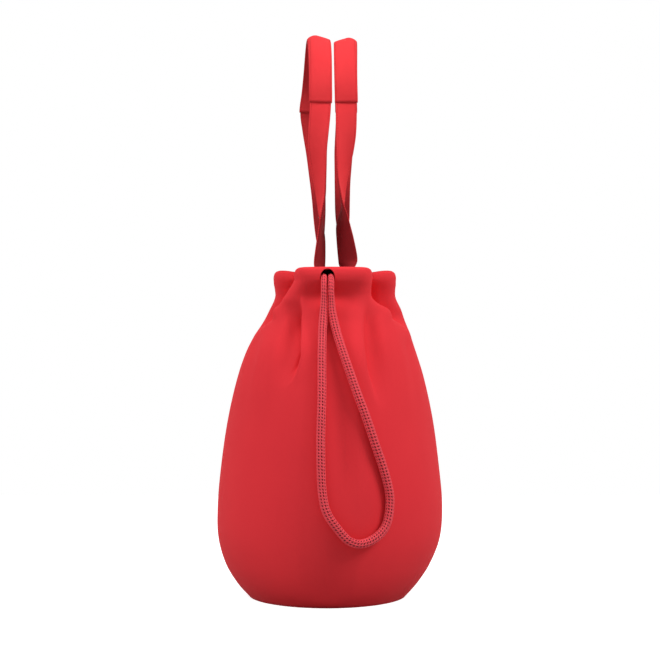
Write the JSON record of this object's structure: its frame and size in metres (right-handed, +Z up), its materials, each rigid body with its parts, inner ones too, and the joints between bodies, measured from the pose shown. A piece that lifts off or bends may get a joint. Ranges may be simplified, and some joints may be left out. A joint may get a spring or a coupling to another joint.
{
  "type": "drawstring tote bag",
  "caption": "Soft oval-based tote bag with a mouth gathered by a drawcord that hangs from one end, and two webbing handles with cloth grips.",
  "frame": {"origin": "centre of the base on the surface the bag stands on", "axes": "+X along the bag's width towards the end where the cord hangs, +Y towards the back, so the front faces -Y, +Z up"},
  "size_m": [0.3659, 0.2112, 0.5275],
  "materials": {
    "bag_cloth": "smooth matte knit-faced foam cloth, red",
    "grip_cloth": "the same smooth matte cloth, doubled over the strap",
    "webbing": "flat woven webbing, red, slightly darker on the inner face",
    "cord": "round braided cord, red, with dark gaps between the strands"
  },
  "bodies": {
    "root": {"bag_body": "bag_cloth", "base_panel": "bag_cloth", "drawcord_in_hem": "cord", "drawcord_loop": "cord", "front_handle_strap": "webbing", "front_grip_sleeve": "grip_cloth", "back_handle_strap": "webbing", "back_grip_sleeve": "grip_cloth"}
  },
  "joints": []
}
